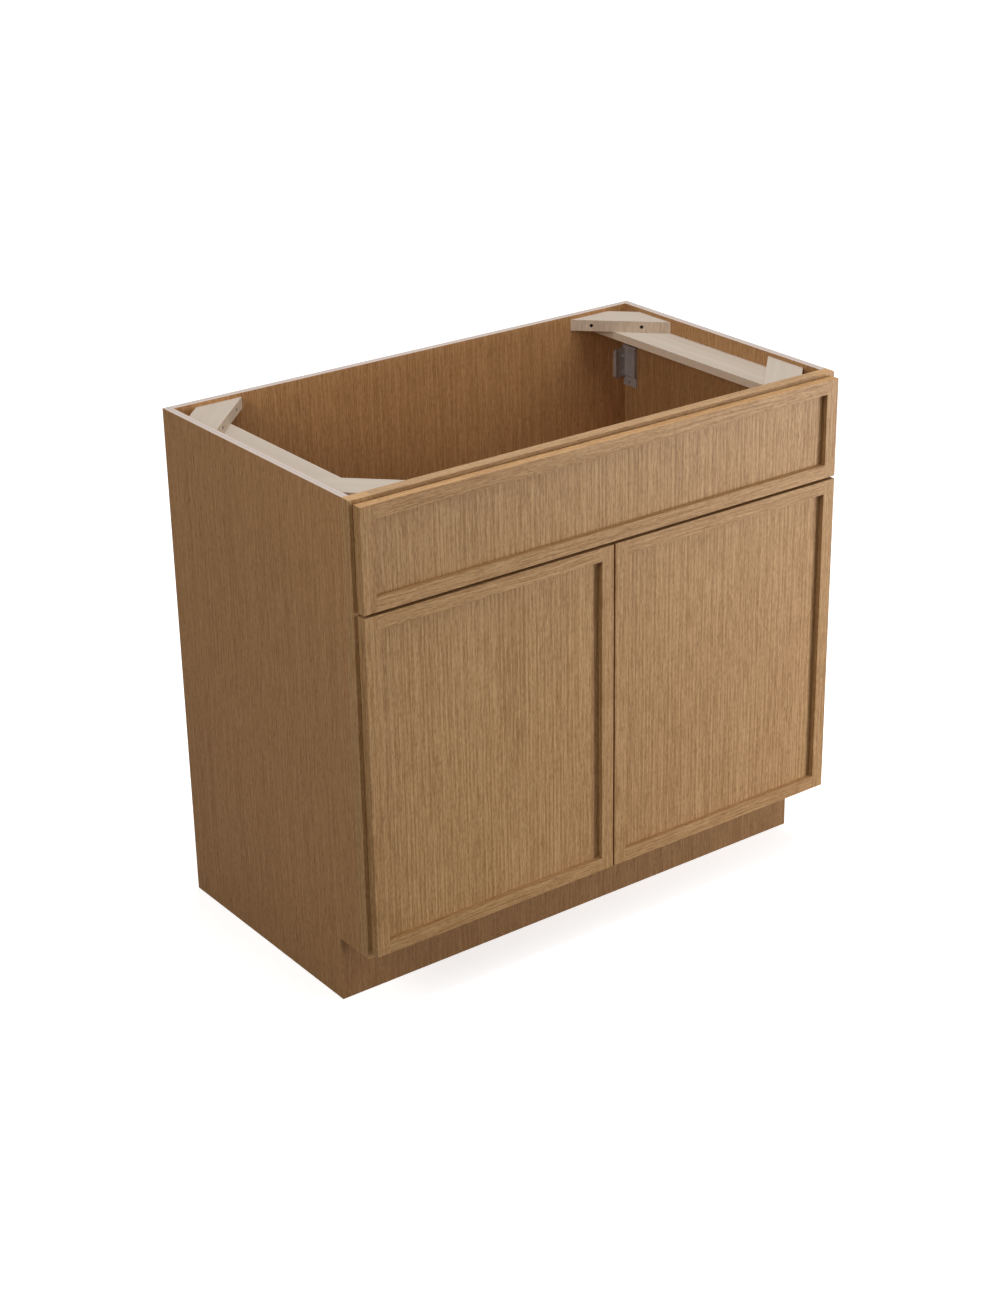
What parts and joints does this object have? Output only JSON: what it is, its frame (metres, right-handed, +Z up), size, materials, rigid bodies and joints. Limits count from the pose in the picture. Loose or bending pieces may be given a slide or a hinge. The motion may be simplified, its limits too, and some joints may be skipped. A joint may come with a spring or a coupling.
{
  "type": "sink base cabinet",
  "caption": "Open-topped oak sink base cabinet with a face frame, recessed-panel false front, a pair of hinged doors, corner blocks and a recessed toe space.",
  "frame": {"origin": "bottom centre of the whole cabinet, closed doors included", "axes": "+X to the right seen from the front, +Y to the back, +Z up; the doors face -Y"},
  "size_m": [0.9144, 0.5314, 0.8382],
  "materials": {
    "oak_plywood": "oak-veneered plywood, sanded and left unfinished",
    "solid_oak": "solid oak, sanded and left unfinished",
    "oak_veneer_panel": "oak veneer on a thin panel, grain upright",
    "pale_softwood": "pale sawn wood, unfinished",
    "bracket_plastic": "moulded grey-white plastic",
    "zinc_screws": "zinc plated",
    "hinge_steel": "nickel plated",
    "bumper_plastic": "clear soft pad",
    "spacer_plastic": "hard pad"
  },
  "bodies": {
    "cabinet": {"back_panel": "oak_plywood", "bottom_frame_rail": "solid_oak", "bracket_screws": "zinc_screws", "corner_block_screws": "zinc_screws", "false_front_bottom_rail": "solid_oak", "false_front_left_stile": "solid_oak", "false_front_panel": "oak_veneer_panel", "false_front_right_stile": "solid_oak", "false_front_screws": "zinc_screws", "false_front_spacers": "spacer_plastic", "false_front_top_rail": "solid_oak", "floor_panel": "oak_plywood", "hinge_arm_pins": "hinge_steel", "hinge_arm_screws": "zinc_screws", "left_back_corner_block": "pale_softwood", "left_corner_bracket": "bracket_plastic", "left_frame_stile": "solid_oak", "left_front_corner_block": "pale_softwood", "left_lower_hinge_arm": "hinge_steel", "left_side_panel": "oak_plywood", "left_side_rail": "pale_softwood", "left_upper_hinge_arm": "hinge_steel", "mid_frame_rail": "solid_oak", "right_back_corner_block": "pale_softwood", "right_corner_bracket": "bracket_plastic", "right_frame_stile": "solid_oak", "right_front_corner_block": "pale_softwood", "right_lower_hinge_arm": "hinge_steel", "right_side_panel": "oak_plywood", "right_side_rail": "pale_softwood", "right_upper_hinge_arm": "hinge_steel", "toe_kick_board": "oak_plywood", "top_frame_rail": "solid_oak"},
    "left_hinge_links": {"left_upper_hinge_link": "hinge_steel", "left_lower_hinge_link": "hinge_steel"},
    "left_door": {"left_door_bottom_rail": "solid_oak", "left_door_bumpers": "bumper_plastic", "left_door_hinge_stile": "solid_oak", "left_door_lock_stile": "solid_oak", "left_door_panel": "oak_veneer_panel", "left_door_top_rail": "solid_oak", "left_upper_hinge_cup": "hinge_steel", "left_lower_hinge_cup": "hinge_steel", "left_hinge_cup_screws": "zinc_screws", "left_hinge_cup_pins": "hinge_steel"},
    "right_hinge_links": {"right_upper_hinge_link": "hinge_steel", "right_lower_hinge_link": "hinge_steel"},
    "right_door": {"right_door_bottom_rail": "solid_oak", "right_door_bumpers": "bumper_plastic", "right_door_hinge_stile": "solid_oak", "right_door_lock_stile": "solid_oak", "right_door_panel": "oak_veneer_panel", "right_door_top_rail": "solid_oak", "right_upper_hinge_cup": "hinge_steel", "right_lower_hinge_cup": "hinge_steel", "right_hinge_cup_screws": "zinc_screws", "right_hinge_cup_pins": "hinge_steel"}
  },
  "joints": [
    {"name": "left_link_pivot", "type": "hinge", "parent": "cabinet", "child": "left_hinge_links", "pos_m": [-0.41635, -0.25217, 0.39054], "axis": [0, 0, -1], "range_deg": [-44, 0]},
    {"name": "left_door_swing", "type": "hinge", "parent": "left_hinge_links", "child": "left_door", "pos_m": [-0.43935, -0.25167, 0.39054], "axis": [0, 0, -1], "range_deg": [0, 144]},
    {"name": "right_link_pivot", "type": "hinge", "parent": "cabinet", "child": "right_hinge_links", "pos_m": [0.41635, -0.25217, 0.39054], "axis": [0, 0, 1], "range_deg": [-44, 0]},
    {"name": "right_door_swing", "type": "hinge", "parent": "right_hinge_links", "child": "right_door", "pos_m": [0.43935, -0.25167, 0.39054], "axis": [0, 0, 1], "range_deg": [0, 144]}
  ],
  "couplings": [
    {"joint": "left_link_pivot", "follows": "left_door_swing", "ratio": -0.30556},
    {"joint": "right_link_pivot", "follows": "right_door_swing", "ratio": -0.30556}
  ]
}
